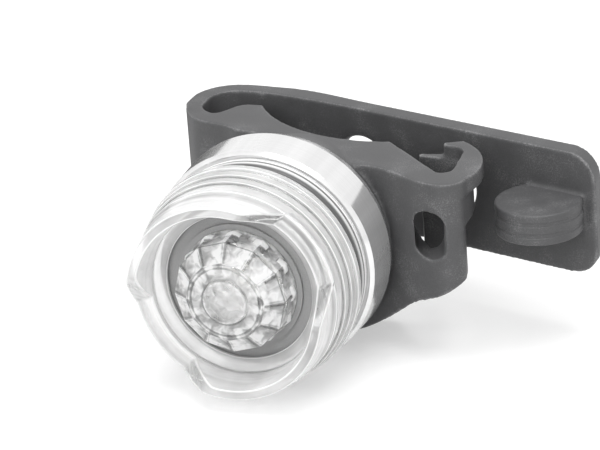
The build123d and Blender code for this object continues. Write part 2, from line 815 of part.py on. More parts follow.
# Silicone strap: barrel, bend, straight run with two hook holes and a ribbed pull stud
with BuildPart() as strap_band:
    with BuildSketch(Plane.XY.offset(band_bottom)) as strap_plan:
        with BuildLine():
            Line((bend_x - bend_outer_radius, bend_y), (bend_x - bend_inner_radius, bend_y))
            ThreePointArc(
                (bend_x - bend_inner_radius, bend_y),
                (bend_x - bend_inner_radius * cos(pi / 4), bend_y + bend_inner_radius * sin(pi / 4)),
                (bend_x, bend_y + bend_inner_radius),
            )
            Spline(
                (bend_x, bend_y + bend_inner_radius),
                (strap_bow_x, strap_front(strap_bow_x) - strap_front_bow),
                (strap_straight_x, strap_front(strap_straight_x)),
                tangents=((1, 0.05), (1, -strap_slope)),
            )
            Polyline(
                (strap_straight_x, strap_front(strap_straight_x)),
                (strap_end_x, strap_front(strap_end_x)),
                (strap_end_x + strap_thickness * strap_slope, strap_back(strap_end_x)),
                (strap_straight_x, strap_back(strap_straight_x)),
            )
            Spline(
                (strap_straight_x, strap_back(strap_straight_x)),
                (strap_bow_x, strap_back(strap_bow_x) - strap_back_bow),
                (bend_x, bend_y + bend_outer_radius),
                tangents=((-1, strap_slope), (-1, 0)),
            )
            ThreePointArc(
                (bend_x, bend_y + bend_outer_radius),
                (bend_x - bend_outer_radius * cos(pi / 4), bend_y + bend_outer_radius * sin(pi / 4)),
                (bend_x - bend_outer_radius, bend_y),
            )
        make_face()
    extrude(amount=band_height)
    strap_span = 2 * strap_end_x
    with BuildSketch(Plane.XZ.offset(-2 * bend_y)):
        with Locations((strap_end_x - strap_span / 2, band_middle)):
            RectangleRounded(strap_span, band_height, strap_corner)
    extrude(amount=2 * bend_y, mode=Mode.INTERSECT)
    with BuildSketch(Plane.XY.offset(band_bottom)):
        with Locations((pivot_x, pivot_y)):
            Circle(barrel_radius)
    extrude(amount=band_height)
    # two round holes with rounded edges, square to the strap
    strap_normal = Vector(-sin(radians(strap_yaw)), -cos(radians(strap_yaw)), 0)
    half = strap_thickness / 2
    wide = hole_radius + hole_edge_round
    edge = hole_edge_round * (1 - cos(pi / 4))
    for hole in range(2):
        hole_x = first_hole_x + hole * hole_pitch * cos(radians(strap_yaw))
        hole_centre = Vector(hole_x, strap_back(hole_x), band_middle) + strap_normal * half
        hole_side = strap_normal.cross(Vector(0, 0, 1))
        with BuildSketch(Plane(origin=hole_centre, x_dir=(0, 0, 1), z_dir=hole_side)):
            with BuildLine():
                Polyline((hole_radius, 0), (hole_radius, half - hole_edge_round))
                ThreePointArc(
                    (hole_radius, half - hole_edge_round),
                    (hole_radius + edge, half - edge),
                    (wide, half),
                )
                Polyline(
                    (wide, half),
                    (wide, 3 * half),
                    (0, 3 * half),
                    (0, -3 * half),
                    (wide, -3 * half),
                    (wide, -half),
                )
                ThreePointArc(
                    (wide, -half),
                    (hole_radius + edge, edge - half),
                    (hole_radius, hole_edge_round - half),
                )
                Line((hole_radius, hole_edge_round - half), (hole_radius, 0))
            make_face()
        revolve(axis=Axis(hole_centre, strap_normal), mode=Mode.SUBTRACT)
    stud_centre = (stud_x, strap_front(stud_x) - stud_stand_off)
    stud_height = stud_layers * stud_layer + (stud_layers - 1) * stud_groove
    with BuildSketch(Plane.XY.offset(stud_top - stud_height)):
        with Locations(stud_centre):
            Circle(stud_radius - stud_groove_depth)
    extrude(amount=stud_height)
    for layer in range(stud_layers):
        with BuildSketch(Plane.XY.offset(stud_top - stud_layer - layer * (stud_layer + stud_groove))):
            with Locations(stud_centre):
                Circle(stud_radius)
        extrude(amount=stud_layer)
export(strap_band, "strap_band")
print("stud centre", stud_centre, "pivot", pivot_x, pivot_y, "slide of the cap", thread_turns * thread_pitch)
strap_run = hypot(strap_end_x - bend_x, strap_front(bend_x) - strap_front(strap_end_x))
print("strap length past the bend", round(strap_run, 1))
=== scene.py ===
import math
import bmesh
import bpy
import numpy as np
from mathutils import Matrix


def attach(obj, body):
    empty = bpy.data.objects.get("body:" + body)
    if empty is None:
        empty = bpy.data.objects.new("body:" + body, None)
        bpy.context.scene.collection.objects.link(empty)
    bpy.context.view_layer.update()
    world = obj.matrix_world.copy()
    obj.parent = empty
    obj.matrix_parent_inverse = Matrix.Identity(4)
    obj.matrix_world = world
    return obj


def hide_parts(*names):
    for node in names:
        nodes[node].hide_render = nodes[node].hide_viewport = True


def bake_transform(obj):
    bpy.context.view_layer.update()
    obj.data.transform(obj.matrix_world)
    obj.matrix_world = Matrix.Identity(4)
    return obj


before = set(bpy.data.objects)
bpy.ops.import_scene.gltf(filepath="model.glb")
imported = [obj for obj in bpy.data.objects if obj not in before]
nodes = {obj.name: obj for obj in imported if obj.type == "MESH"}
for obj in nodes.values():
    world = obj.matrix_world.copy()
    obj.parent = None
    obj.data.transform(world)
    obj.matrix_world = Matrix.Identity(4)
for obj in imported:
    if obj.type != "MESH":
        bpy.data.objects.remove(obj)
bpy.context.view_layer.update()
mm = 0.001
print("frame loaded:", len(nodes), "nodes")


# Small helpers

def linearColour(hexText):
    # sRGB hex to the linear colour that a shader takes
    channels = np.array([int(hexText[i:i + 2], 16) / 255 for i in (1, 3, 5)])
    linear = np.where(channels <= 0.04045, channels / 12.92, ((channels + 0.055) / 1.055) ** 2.4)
    return (*linear.tolist(), 1.0)


def addNode(tree, kind, inputs=None, stops=None, **settings):
    # one shader node: its settings, its inputs as values or links, and the stops of a colour ramp
    node = tree.nodes.new(kind)
    for name, value in settings.items():
        setattr(node, name, value)
    for name, value in (inputs or {}).items():
        if isinstance(value, bpy.types.NodeSocket):
            tree.links.new(value, node.inputs[name])
        else:
            node.inputs[name].default_value = value
    if stops:
        while len(node.color_ramp.elements) < len(stops):
            node.color_ramp.elements.new(0.5)
        for element, (place, colour) in zip(node.color_ramp.elements, stops):
            element.position = place
            element.color = linearColour(colour)
    return node


def startMaterial(name):
    # an empty node material, with object coordinates ready for its patterns
    material = bpy.data.materials.new(name)
    material.use_nodes = True
    tree = material.node_tree
    tree.nodes.clear()
    place = addNode(tree, "ShaderNodeTexCoord").outputs["Object"]
    return material, tree, place


def endMaterial(tree, shader):
    addNode(tree, "ShaderNodeOutputMaterial", {"Surface": shader.outputs[0]})


def makePiece(name, points, faces, material, body):
    mesh = bpy.data.meshes.new(name)
    mesh.from_pydata(points, [], faces)
    mesh.polygons.foreach_set("use_smooth", np.ones(len(mesh.polygons), bool))
    mesh.materials.append(material)
    piece = bpy.data.objects.new(name, mesh)
    bpy.context.scene.collection.objects.link(piece)
    if body:
        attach(piece, body)
    return piece


# the largest share of a side that an arc takes, and how far out the held points lie, in arc reaches
rounding = {"shareOfSide": 0.36, "held": 1.3}


def roundedProfile(corners, reach, steps=4):
    # a line of corners with each corner turned into a small arc: a curve of second degree between
    # two points on the corner's sides, and one more point further out on each side to keep it flat
    corners = np.array(corners, float)
    sides = np.diff(corners, axis=0)
    lengths = np.linalg.norm(sides, axis=1, keepdims=True)
    cut = np.minimum(reach, rounding["shareOfSide"] * np.minimum(lengths[:-1], lengths[1:]))
    middle = corners[1:-1]
    before, after = -sides[:-1] / lengths[:-1], sides[1:] / lengths[1:]
    t = np.linspace(0, 1, steps)[None, :, None]
    start, end = (middle + before * cut)[:, None], (middle + after * cut)[:, None]
    arc = (1 - t) ** 2 * start + 2 * t * (1 - t) * middle[:, None] + t ** 2 * end
    heldBefore = (middle + before * cut * rounding["held"])[:, None]
    heldAfter = (middle + after * cut * rounding["held"])[:, None]
    held = np.concatenate([heldBefore, arc, heldAfter], axis=1)
    return np.concatenate([corners[:1], held.reshape(-1, 2), corners[-1:]])


def closedProfile(corners, reach, steps=4):
    # the same for a line that closes on itself: the first corner is met again at the end
    first = (np.array(corners[0], float) + np.array(corners[-1], float)) / 2
    line = roundedProfile([first, *corners, first], reach, steps)
    return line[:-1]


def turned(name, radius, depth, material, body, axis="Y", centre=(0.0, 0.0), tone=None):
    # a closed surface turned round an axis, in mm: rows follow the profile and columns go round it;
    # a profile that starts and ends on the axis gets a pole at each end, any other closes on itself
    rows, steps = radius.shape
    angle = np.broadcast_to(np.arange(steps) * 2 * math.pi / steps, radius.shape)
    across, along = radius * np.sin(angle), radius * np.cos(angle)
    if axis == "Y":
        grid = np.stack([across, depth, along], axis=-1)
    else:
        grid = np.stack([centre[0] + across, centre[1] + along, depth], axis=-1)
    poles = bool(radius[0].max() < 1e-6)
    if poles:
        points = np.concatenate([grid[1:-1].reshape(-1, 3), grid[:1, 0], grid[-1:, 0]])
        index = np.arange((rows - 2) * steps).reshape(rows - 2, steps)
        last, following = index[:-1], index[1:]
        low, high = np.full(steps, len(points) - 2), np.full(steps, len(points) - 1)
        ends = np.concatenate([np.stack([low, np.roll(index[0], -1), index[0]], axis=-1),
                               np.stack([high, index[-1], np.roll(index[-1], -1)], axis=-1)])
    else:
        points = grid.reshape(-1, 3)
        index = np.arange(rows * steps).reshape(rows, steps)
        last, following = index, np.roll(index, -1, axis=0)
        ends = np.empty((0, 3), int)
    quads = np.stack([last, np.roll(last, -1, axis=1), np.roll(following, -1, axis=1), following], axis=-1)
    quads = quads.reshape(-1, 4)
    # the faces point outwards where the volume that they close in is positive
    a, b, c = points[np.concatenate([quads[:, :3], ends]).T]
    if np.einsum("ij,ij->", a, np.cross(b, c)) < 0:
        quads, ends = quads[:, ::-1], ends[:, ::-1]
    piece = makePiece(name, points * mm, quads.tolist() + ends.tolist(), material, body)
    if tone is not None:
        values = np.concatenate([tone[1:-1].ravel(), tone[[0, -1], 0]]) if poles else tone.ravel()
        piece.data.attributes.new("tone", "FLOAT", "POINT").data.foreach_set("value", values)
    return piece


def paint(material, *names):
    for name in names:
        mesh = nodes[name].data
        mesh.materials.clear()
        mesh.materials.append(material)


# Camera, floor and light

view = {
    "azimuth": 22.41, "elevation": 22.77, "roll": -4.28,   # degrees, from the front of the light
    "distance": 529.06, "shiftRight": 5.063, "shiftUp": 4.925,   # mm
    "focalPixels": 3853.2, "imageWidth": 600, "sensorWidth": 36.0,
}
azimuth, elevation, roll = (math.radians(view[key]) for key in ("azimuth", "elevation", "roll"))
toCamera = np.array([math.sin(azimuth) * math.cos(elevation), -math.cos(azimuth) * math.cos(elevation),
                     math.sin(elevation)])
levelRight = np.array([math.cos(azimuth), math.sin(azimuth), 0.0])
levelUp = np.cross(toCamera, levelRight)
right = levelRight * math.cos(roll) + levelUp * math.sin(roll)
up = levelUp * math.cos(roll) - levelRight * math.sin(roll)
cameraPlace = view["distance"] * toCamera + view["shiftRight"] * right + view["shiftUp"] * up
cameraData = bpy.data.cameras.new("camera")
cameraData.sensor_width = view["sensorWidth"]
cameraData.lens = view["sensorWidth"] * view["focalPixels"] / view["imageWidth"]
cameraData.clip_end = 20
camera = bpy.data.objects.new("camera", cameraData)
cameraFrame = np.eye(4)
cameraFrame[:3, :] = np.column_stack([right, up, toCamera, cameraPlace * mm])
camera.matrix_world = cameraFrame.T.tolist()
bpy.context.scene.collection.objects.link(camera)
bpy.context.scene.camera = camera
bpy.context.scene.view_settings.view_transform = "Standard"

studio = {
    "floorDrop": -16.5 * mm, "floorReach": 3.0, "floorColour": "#e6e6e6", "floorWhite": "#ffffff",
    "floorGlow": 0.45, "skyLevel": 0.72,
    # name: place in metres, size in metres, watts
    "lamps": {
        "softboxTop": ((0.08, -0.08, 0.55), (0.45, 0.45), 2.7),
        "softboxFront": ((0.02, -0.65, 0.38), (0.4, 0.4), 2.4),
    },
    # a dark card behind the light on its left, seen only in glossy reflections: corners in metres
    "card": [(-0.075, 0.06, -0.016), (-0.032, 0.06, -0.016),
             (-0.032, 0.06, 0.0185), (-0.075, 0.06, 0.0185)],
    "cardColour": "#2c2c2c",
}


def makeLamp(name, place, size, watts):
    # a softbox that faces the light
    data = bpy.data.lights.new(name, "AREA")
    data.shape = "RECTANGLE"
    data.size, data.size_y = size
    data.energy = watts
    lamp = bpy.data.objects.new(name, data)
    aim = np.array(place) / np.linalg.norm(place)
    side = np.cross((0.0, 1.0, 0.0) if abs(aim[2]) > 0.9 else (0.0, 0.0, 1.0), aim)
    side /= np.linalg.norm(side)
    turn = np.eye(4)
    turn[:3, :3] = np.column_stack([side, np.cross(aim, side), aim])
    turn[:3, 3] = place
    lamp.matrix_world = turn.T.tolist()
    bpy.context.scene.collection.objects.link(lamp)


for name, (place, size, watts) in studio["lamps"].items():
    makeLamp(name, place, size, watts)

world = bpy.data.worlds.new("studio")
bpy.context.scene.world = world
world.use_nodes = True
worldTree = world.node_tree
worldTree.nodes.clear()


def seenRay(tree):
    # 1 for rays from the camera, and for those that metal and glass send on
    path = addNode(tree, "ShaderNodeLightPath")
    glossy = addNode(tree, "ShaderNodeMath",
                     {0: path.outputs["Is Camera Ray"], 1: path.outputs["Is Glossy Ray"]},
                     operation="MAXIMUM")
    return addNode(tree, "ShaderNodeMath", {0: glossy.outputs[0], 1: path.outputs["Is Transmission Ray"]},
                   operation="MAXIMUM").outputs[0]


white = linearColour("#ffffff")
skyLight = addNode(worldTree, "ShaderNodeBackground", {"Color": white, "Strength": studio["skyLevel"]})
skySeen = addNode(worldTree, "ShaderNodeBackground", {"Color": white, "Strength": 1.0})
skyMix = addNode(worldTree, "ShaderNodeMixShader",
                 {0: seenRay(worldTree), 1: skyLight.outputs[0], 2: skySeen.outputs[0]})
addNode(worldTree, "ShaderNodeOutputWorld", {"Surface": skyMix.outputs[0]})


def floorMaterial():
    # matt white paper, which glows a little for rays that are seen, so that the shadow on it is pale
    material, tree, _ = startMaterial("paperSweep")
    seen = seenRay(tree)
    floorWhite = linearColour(studio["floorWhite"])
    tint = addNode(tree, "ShaderNodeMix", {0: seen, 6: linearColour(studio["floorColour"]), 7: floorWhite},
                   data_type="RGBA")
    paper = addNode(tree, "ShaderNodeBsdfDiffuse", {"Color": tint.outputs[2]})
    glow = addNode(tree, "ShaderNodeEmission", {"Color": floorWhite, "Strength": 1.0})
    share = addNode(tree, "ShaderNodeMath", {0: seen, 1: studio["floorGlow"]}, operation="MULTIPLY")
    shader = addNode(tree, "ShaderNodeMixShader",
                     {0: share.outputs[0], 1: paper.outputs[0], 2: glow.outputs[0]})
    endMaterial(tree, shader)
    return material


reach, drop = studio["floorReach"], studio["floorDrop"]
floorCorners = [(-reach, -reach, drop), (reach, -reach, drop), (reach, reach, drop), (-reach, reach, drop)]
floor = makePiece("floor", floorCorners, [(0, 1, 2, 3)], floorMaterial(), None)


def cardMaterial():
    # dark felt
    material, tree, _ = startMaterial("felt")
    felt = addNode(tree, "ShaderNodeBsdfDiffuse", {"Color": linearColour(studio["cardColour"])})
    endMaterial(tree, felt)
    return material


card = makePiece("card", studio["card"], [(0, 1, 2, 3)], cardMaterial(), None)
card.visible_camera = card.visible_diffuse = card.visible_shadow = card.visible_transmission = False
print("camera, floor and lamps made")


# Materials: sizes are in mm

siliconeLook = {
    "grain": 0.18, "cloud": 5.0, "bump": 0.25, "bumpDepth": 0.03,
    # the next line starts with the weight of the painted highlight on outer edges
    "edgeHighlight": 0.32, "roughness": (0.42, 0.6), "ior": 1.43,
    "stops": [(0.1, "#434344"), (0.3, "#4d4d4e"), (0.42, "#646465"), (0.7, "#909090")],
}


def siliconeMaterial():
    # moulded black silicone: satin dark grey, with dust in light specks and a painted highlight on its
    # outer edges
    look = siliconeLook
    material, tree, place = startMaterial("mouldedSilicone")
    grain = addNode(tree, "ShaderNodeTexNoise",
                    {"Vector": place, "Scale": 1 / (look["grain"] * mm), "Detail": 3.0}).outputs["Fac"]
    cloud = addNode(tree, "ShaderNodeTexNoise",
                    {"Vector": place, "Scale": 1 / (look["cloud"] * mm), "Detail": 4.0}).outputs["Fac"]
    dust = addNode(tree, "ShaderNodeMath", {0: grain, 1: cloud}, operation="MULTIPLY")
    # the edge attribute is a painted highlight on outer edges, weighted and added to the dust
    edge = addNode(tree, "ShaderNodeAttribute", attribute_name="edge")
    highlightAndDust = addNode(tree, "ShaderNodeMath", {0: edge.outputs["Fac"], 1: look["edgeHighlight"], 2: dust.outputs[0]},
                    operation="MULTIPLY_ADD")
    colour = addNode(tree, "ShaderNodeValToRGB", {"Fac": highlightAndDust.outputs[0]}, stops=look["stops"])
    smooth, rough = look["roughness"]
    roughness = addNode(tree, "ShaderNodeMapRange", {"Value": cloud, "To Min": smooth, "To Max": rough})
    bump = addNode(tree, "ShaderNodeBump",
                   {"Height": grain, "Strength": look["bump"], "Distance": look["bumpDepth"] * mm})
    shader = addNode(tree, "ShaderNodeBsdfPrincipled",
                     {"Base Color": colour.outputs["Color"], "Roughness": roughness.outputs[0],
                      "Normal": bump.outputs["Normal"], "IOR": look["ior"]})
    endMaterial(tree, shader)
    return material


def aroundAxis(tree, place):
    # the angle round the light's axis, the distance from it and the depth along it
    split = addNode(tree, "ShaderNodeSeparateXYZ", {"Vector": place})
    angle = addNode(tree, "ShaderNodeMath", {0: split.outputs["X"], 1: split.outputs["Z"]},
                    operation="ARCTAN2")
    flat = addNode(tree, "ShaderNodeCombineXYZ", {"X": split.outputs["X"], "Z": split.outputs["Z"]})
    distance = addNode(tree, "ShaderNodeVectorMath", {0: flat.outputs[0]}, operation="LENGTH")
    return {"angle": angle.outputs[0], "distance": distance.outputs["Value"], "depth": split.outputs["Y"]}


metalLook = {
    "turningLines": 0.12, "scratches": 5.0, "metallic": 0.7, "roughness": (0.1, 0.3),
    "stops": [(0.1, "#d2d2d2"), (0.25, "#e2e2e2"), (0.4, "#ececec")],
}


def aluminiumMaterial():
    # turned and polished aluminium, a little satin: a soft mirror with turning lines round the axis
    # and fine scratches along it
    look = metalLook
    material, tree, place = startMaterial("polishedAluminium")
    spot = aroundAxis(tree, place)
    lines = addNode(tree, "ShaderNodeTexNoise",
                    {"W": spot["depth"], "Scale": 1 / (look["turningLines"] * mm), "Detail": 3.0},
                    noise_dimensions="1D")
    scratchPlace = addNode(tree, "ShaderNodeCombineXYZ", {"X": spot["angle"], "Y": spot["depth"]})
    scratches = addNode(tree, "ShaderNodeTexNoise",
                        {"Vector": scratchPlace.outputs[0], "Scale": look["scratches"], "Detail": 3.0})
    mixed = addNode(tree, "ShaderNodeMath", {0: lines.outputs[0], 1: scratches.outputs["Fac"]},
                    operation="MULTIPLY").outputs[0]
    smooth, rough = look["roughness"]
    roughness = addNode(tree, "ShaderNodeMapRange", {"Value": mixed, "To Min": smooth, "To Max": rough})
    tone = addNode(tree, "ShaderNodeValToRGB", {"Fac": mixed}, stops=look["stops"])
    shader = addNode(tree, "ShaderNodeBsdfPrincipled",
                     {"Base Color": tone.outputs["Color"], "Metallic": look["metallic"],
                      "Roughness": roughness.outputs[0]})
    endMaterial(tree, shader)
    return material


def hazyClear(name, look, pattern):
    # clear moulded plastic with a milky haze: glass and a white body mixed by a pattern, so that it
    # stays bright where light runs inside its walls and clear where they are thin
    material, tree, place = startMaterial(name)
    haze = addNode(tree, "ShaderNodeValToRGB", {"Fac": pattern(tree, place, look)}, stops=look["stops"])
    glass = addNode(tree, "ShaderNodeBsdfPrincipled",
                    {"Base Color": white, "Roughness": look["roughness"], "IOR": look["ior"],
                     "Transmission Weight": 1.0})
    body = addNode(tree, "ShaderNodeBsdfDiffuse", {"Color": white})
    through = addNode(tree, "ShaderNodeBsdfTranslucent", {"Color": white})
    milk = addNode(tree, "ShaderNodeMixShader",
                   {0: look["through"], 1: body.outputs[0], 2: through.outputs[0]})
    shader = addNode(tree, "ShaderNodeMixShader",
                     {0: haze.outputs["Color"], 1: glass.outputs[0], 2: milk.outputs[0]})
    endMaterial(tree, shader)
    return material


def toned(tree, pattern, look):
    # the surface's tone attribute, which holds painted light, moved a little by a pattern
    own = addNode(tree, "ShaderNodeAttribute", attribute_name="tone")
    moved = addNode(tree, "ShaderNodeMath", {0: pattern, 1: look["patternWeight"], 2: own.outputs["Fac"]},
                    operation="MULTIPLY_ADD")
    return addNode(tree, "ShaderNodeMath", {0: moved.outputs[0], 1: look["patternBase"]},
                   operation="SUBTRACT").outputs[0]


capLook = {
    "ior": 1.58, "roughness": 0.06, "through": 0.45,
    "rings": 0.9, "ringLean": 0.6, "drift": 5.0,
    # the last value is the painted shade on the slanting ends of the ears
    "patternWeight": 0.45, "patternBase": 0.45, "paintedEndShade": -0.34,
    "stops": [(0.0, "#303030"), (0.35, "#8c8c8c"), (0.7, "#c8c8c8"), (1.0, "#f4f4f4")],
}


def capPattern(tree, place, look):
    # faint rings round the axis, as light runs in the ribs and steps of the moulding
    spot = aroundAxis(tree, place)
    across = addNode(tree, "ShaderNodeMath", {0: spot["depth"], 1: look["ringLean"], 2: spot["distance"]},
                     operation="MULTIPLY_ADD")
    rings = addNode(tree, "ShaderNodeTexNoise",
                    {"W": across.outputs[0], "Scale": 1 / (look["rings"] * mm), "Detail": 2.0},
                    noise_dimensions="1D")
    drift = addNode(tree, "ShaderNodeTexNoise",
                    {"Vector": place, "Scale": 1 / (look["drift"] * mm), "Detail": 2.0})
    both = addNode(tree, "ShaderNodeMath", {0: drift.outputs["Fac"], 1: rings.outputs[0]}, operation="ADD")
    # painted shade: the slanting ends of the two ears, where the surface leans round the axis, are made
    # greyer
    facing = addNode(tree, "ShaderNodeTexCoord").outputs["Normal"]
    level = addNode(tree, "ShaderNodeVectorMath", {0: place, 1: (0, 1, 0)}, operation="CROSS_PRODUCT")
    unit = addNode(tree, "ShaderNodeVectorMath", {0: level.outputs[0]}, operation="NORMALIZE")
    lean = addNode(tree, "ShaderNodeVectorMath", {0: unit.outputs[0], 1: facing}, operation="DOT_PRODUCT")
    slant = addNode(tree, "ShaderNodeMath", {0: lean.outputs["Value"]}, operation="ABSOLUTE")
    tone = toned(tree, both.outputs[0], look)
    return addNode(tree, "ShaderNodeMath", {0: slant.outputs[0], 1: look["paintedEndShade"], 2: tone},
                   operation="MULTIPLY_ADD").outputs[0]


gemLook = {
    "ior": 1.49, "roughness": 0.02, "through": 0.45,
    # the patches are painted reflections
    "paintedReflections": 1.4, "swirl": 0.8, "patternWeight": 1.1, "patternBase": 0.74,
    "stops": [(0.0, "#101010"), (0.35, "#6c6c6c"), (0.7, "#bcbcbc"), (1.0, "#fcfcfc")],
    # tones from the axis, 0, to circleSpan from it, 1
    "circleSpan": 10.0, "circleWeight": 0.9,
    # the circles: painted shade in two thin dark rings, with paler painted bands beside them
    "paintedCircles": [(0.0, "#a0a0a0"), (0.25, "#8c8c8c"), (0.3, "#c0c0c0"), (0.325, "#101010"),
                (0.35, "#b0b0b0"), (0.475, "#b8b8b8"), (0.495, "#202020"), (0.52, "#a0a0a0")],
}


def gemPattern(tree, place, look):
    # painted reflections in soft patches over the tone of each facet, standing in for light inside a clear
    # gem, and two thin dark circles of painted shade with paler bands beside them: round the lens, and
    # round the short blocks outside it
    spot = aroundAxis(tree, place)
    paintedReflections = addNode(tree, "ShaderNodeTexNoise",
                      {"Vector": place, "Scale": 1 / (look["paintedReflections"] * mm), "Detail": 2.0,
                       "Distortion": look["swirl"]})
    share = addNode(tree, "ShaderNodeMath", {0: spot["distance"], 1: 1 / (look["circleSpan"] * mm)},
                    operation="MULTIPLY")
    paintedCircles = addNode(tree, "ShaderNodeValToRGB", {"Fac": share.outputs[0]}, stops=look["paintedCircles"])
    both = addNode(tree, "ShaderNodeMath",
                   {0: paintedCircles.outputs["Color"], 1: look["circleWeight"], 2: paintedReflections.outputs["Fac"]},
                   operation="MULTIPLY_ADD")
    return toned(tree, both.outputs[0], look)


sealLook = {"roughness": 0.35, "stops": [(0.0, "#464646"), (0.4, "#848484"), (1.0, "#f4f4f4")]}


def sealMaterial():
    # moulded rubber, with a painted highlight on its lips and painted shade in the grooves between them
    material, tree, _ = startMaterial("lippedRubber")
    own = addNode(tree, "ShaderNodeAttribute", attribute_name="tone")
    colour = addNode(tree, "ShaderNodeValToRGB", {"Fac": own.outputs["Fac"]}, stops=sealLook["stops"])
    shader = addNode(tree, "ShaderNodeBsdfPrincipled",
                     {"Base Color": colour.outputs["Color"], "Roughness": sealLook["roughness"]})
    endMaterial(tree, shader)
    return material


mattLook = {
    "bump": 0.2, "bumpDepth": 0.02,
    # name: dark and light shade, grain, roughness, metallic, and the pieces that have it
    "finishes": {
        # dull mid-grey rubber
        "mouldedRubber": ("#7c7c7c", "#8c8c8c", 0.15, 0.6, 0.0, ["window_seal"]),
        # grey plastic with a fine grain
        "mouldedAbs": ("#848484", "#969696", 0.12, 0.6, 0.0, ["button_carrier", "switch_plunger"]),
        # smooth off-white lacquer
        "whiteSolderMask": ("#dcdedb", "#e6e8e5", 0.3, 0.35, 0.0, ["led_board"]),
        # waxy cream plastic
        "naturalNylon": ("#d2d2cc", "#dedcd6", 0.4, 0.5, 0.0, ["board_retainer", "cell_tray"]),
        # pale yellow under clear resin
        "ledPhosphor": ("#e6e4d6", "#f0eee2", 0.2, 0.3, 0.0, ["led"]),
        # satin and dull black
        "blackHousing": ("#1c1c1c", "#262626", 0.1, 0.5, 0.0, ["tact_switch"]),
        "mouldingCompound": ("#161616", "#202020", 0.1, 0.6, 0.0, ["controller_chip", "board_resistors"]),
        # grey metals
        "platedSpringSteel": ("#b4b4b4", "#c8c8c8", 0.1, 0.3, 1.0, ["contact_spring", "base_contact"]),
        "brushedCellSteel": ("#b8b8b8", "#cccccc", 0.1, 0.35, 1.0, ["coin_cell_front", "coin_cell_rear"]),
    },
}


def mattMaterial(name, dark, light, grainSize, roughness, metallic):
    # moulded, printed or pressed parts: fine grain between two close shades
    material, tree, place = startMaterial(name)
    grain = addNode(tree, "ShaderNodeTexNoise",
                    {"Vector": place, "Scale": 1 / (grainSize * mm), "Detail": 3.0}).outputs["Fac"]
    colour = addNode(tree, "ShaderNodeValToRGB", {"Fac": grain}, stops=[(0.3, dark), (0.7, light)])
    bump = addNode(tree, "ShaderNodeBump",
                   {"Height": grain, "Strength": mattLook["bump"], "Distance": mattLook["bumpDepth"] * mm})
    shader = addNode(tree, "ShaderNodeBsdfPrincipled",
                     {"Base Color": colour.outputs["Color"], "Roughness": roughness, "Metallic": metallic,
                      "Normal": bump.outputs["Normal"]})
    endMaterial(tree, shader)
    return material


silicone = siliconeMaterial()
clearCap = hazyClear("clearPolycarbonate", capLook, capPattern)
clearGem = hazyClear("clearAcrylic", gemLook, gemPattern)
sealRubber = sealMaterial()
paint(aluminiumMaterial(), "body_shell")
paint(clearCap, "lens_cap")
paint(clearGem, "gem_lens")
paint(sealRubber, "cap_seal")
for name, (dark, light, grainSize, roughness, metallic, pieces) in mattLook["finishes"].items():
    paint(mattMaterial(name, dark, light, grainSize, roughness, metallic), *pieces)
print("materials made")


# Clear cap: one turned moulding whose crown is lowered at its two gaps

cap = {
    # radius, or radius and depth, in mm
    "neckBore": 12.35, "neckRadius": 13.85, "sealBore": 13.35, "neckEnd": 4.6, "neckFront": 0.05,
    "shoulder": (15.79, -3.95), "ribs": 3, "ribWidth": 1.15, "ribPitch": 1.7, "ribStep": 0.3,
    "grooveDepth": 0.4, "grooveLean": 0.1,
    "crownBase": (14.8, -10.9), "crownFront": (14.04, -15.2), "crownRim": 1.34,
    "crownFoot": (12.16, -10.3),
    "windowEdge": (10.55, -9.06), "windowBack": -8.56, "cavityRadius": 11.3, "boardFront": -4.6,
    "edge": 0.24, "steps": 480,
    "gapAngle": 57.0, "gapHalfWidth": 5.3, "gapSlope": 0.87, "gapEase": 0.35,
    "rimDepth": 0.35, "footDepth": 0.45, "footPacking": 0.1,
    # haze tones of the section: on the faces, a painted highlight on outer edges, and painted shade in
    # inner corners
    "faceTone": 0.58, "paintedEdgeHighlight": 1.1, "paintedCornerShading": -0.1,
}


def paintedCornerShading(corners, steps=4):
    # along a closed rounded profile: a painted highlight on an outer edge, painted shade in an inner
    # corner, even on the faces
    corners = np.array(corners, float)
    before = corners - np.roll(corners, 1, axis=0)
    after = np.roll(corners, -1, axis=0) - corners
    turn = before[:, 0] * after[:, 1] - before[:, 1] * after[:, 0]
    area = np.sum(corners[:, 0] * np.roll(corners[:, 1], -1) - np.roll(corners[:, 0], -1) * corners[:, 1])
    edge = np.where(turn * area > 0, cap["paintedEdgeHighlight"], cap["paintedCornerShading"])
    bell = np.sin(np.linspace(0, math.pi, steps))
    inner = cap["faceTone"] + (edge - cap["faceTone"])[:, None] * bell[None, :]
    held = np.full((len(corners), 1), cap["faceTone"])
    return np.concatenate([[cap["faceTone"]], np.concatenate([held, inner, held], axis=1).ravel()])


def capCorners():
    # the cap's section, as radius and depth, from the neck over the ribs and the crown to the inside
    ribs = []
    for rib in range(cap["ribs"]):
        radius = cap["shoulder"][0] - rib * cap["ribStep"]
        front = cap["shoulder"][1] - rib * cap["ribPitch"]
        ribs += [(radius, front), (radius, front - cap["ribWidth"]),
                 (radius - cap["grooveDepth"], front - cap["ribWidth"] - cap["grooveLean"]),
                 (radius - cap["grooveDepth"], front - cap["ribPitch"])]
    ribEnd = cap["shoulder"][1] - cap["ribs"] * cap["ribPitch"]
    return [(cap["neckBore"], cap["neckEnd"]), (cap["neckRadius"], cap["neckEnd"]),
            (cap["neckRadius"], cap["neckFront"]), (cap["sealBore"], cap["neckFront"]),
            (cap["sealBore"], cap["shoulder"][1]), *ribs,
            (cap["crownBase"][0], ribEnd), cap["crownBase"], cap["crownFront"],
            (cap["crownFront"][0] - cap["crownRim"], cap["crownFront"][1]),
            cap["crownFoot"], cap["windowEdge"],
            (cap["windowEdge"][0], cap["windowBack"]), (cap["cavityRadius"], cap["windowBack"]),
            (cap["cavityRadius"], cap["boardFront"]), (cap["neckBore"], cap["boardFront"])]


